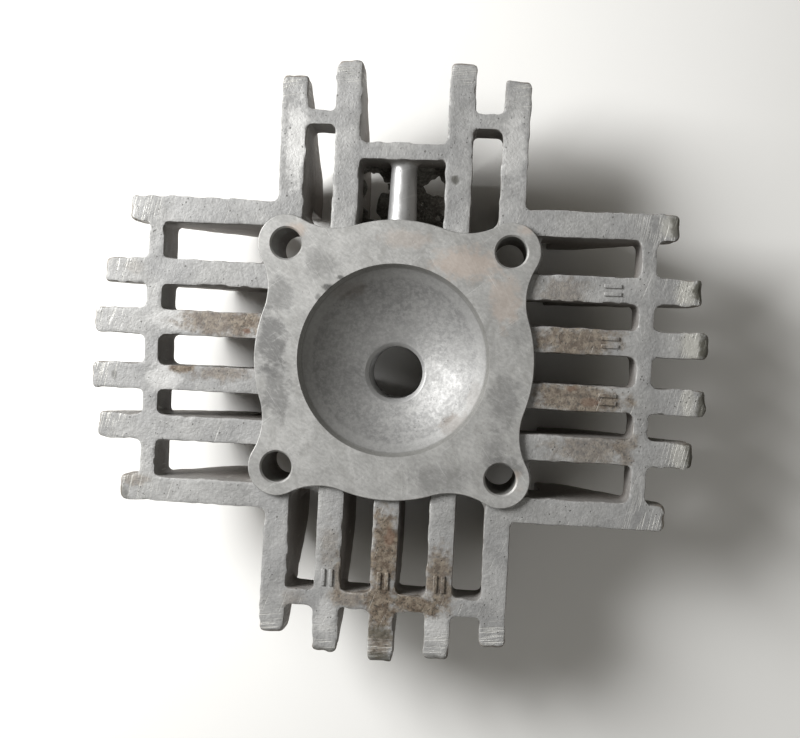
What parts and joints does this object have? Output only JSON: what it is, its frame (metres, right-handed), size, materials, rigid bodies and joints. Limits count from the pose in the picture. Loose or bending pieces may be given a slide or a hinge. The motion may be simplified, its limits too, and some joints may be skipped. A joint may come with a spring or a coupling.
{
  "type": "cylinder head",
  "caption": "Air-cooled engine cylinder head: cast hub with a spherical combustion chamber, gasket flange, plug boss and straight cooling fins on four sides.",
  "frame": {"origin": "centre of the rectangle of stud holes, on the gasket face", "axes": "+Z out of the gasket face, towards the cylinder; +Y towards the four top fins and the pocket; +X towards the right-hand fins"},
  "size_m": [0.143, 0.1394, 0.036],
  "materials": {
    "cast_skin": "rough cast",
    "faced_metal": "machined face with fine scratches",
    "chamber_skin": "fine blasted satin",
    "smooth_metal": "smooth cast",
    "dark_flash": "dark oily cast skin"
  },
  "bodies": {
    "root": {"gasket_flange": "faced_metal", "chamber_dome": "chamber_skin", "plug_boss": "chamber_skin", "stud_column_top_left": "cast_skin", "stud_column_top_right": "cast_skin", "stud_column_bottom_right": "cast_skin", "stud_column_bottom_left": "cast_skin", "left_fin_1": "cast_skin", "left_fin_2": "cast_skin", "left_fin_3": "cast_skin", "left_fin_4": "cast_skin", "left_fin_5": "cast_skin", "left_fin_6": "cast_skin", "right_fin_1": "cast_skin", "right_fin_2": "cast_skin", "right_fin_3": "cast_skin", "right_fin_4": "cast_skin", "right_fin_5": "cast_skin", "right_fin_6": "cast_skin", "top_fin_1": "cast_skin", "top_fin_2": "cast_skin", "top_fin_3": "cast_skin", "top_fin_4": "cast_skin", "bottom_fin_1": "cast_skin", "bottom_fin_2": "cast_skin", "bottom_fin_3": "cast_skin", "bottom_fin_4": "cast_skin", "bottom_fin_5": "cast_skin", "left_web": "cast_skin", "right_web": "cast_skin", "bottom_web": "cast_skin", "top_left_web": "cast_skin", "top_right_web": "cast_skin", "pocket_bridge": "cast_skin", "tie_post": "smooth_metal", "pocket_flash": "dark_flash", "foundry_marks": "cast_skin"}
  },
  "joints": []
}
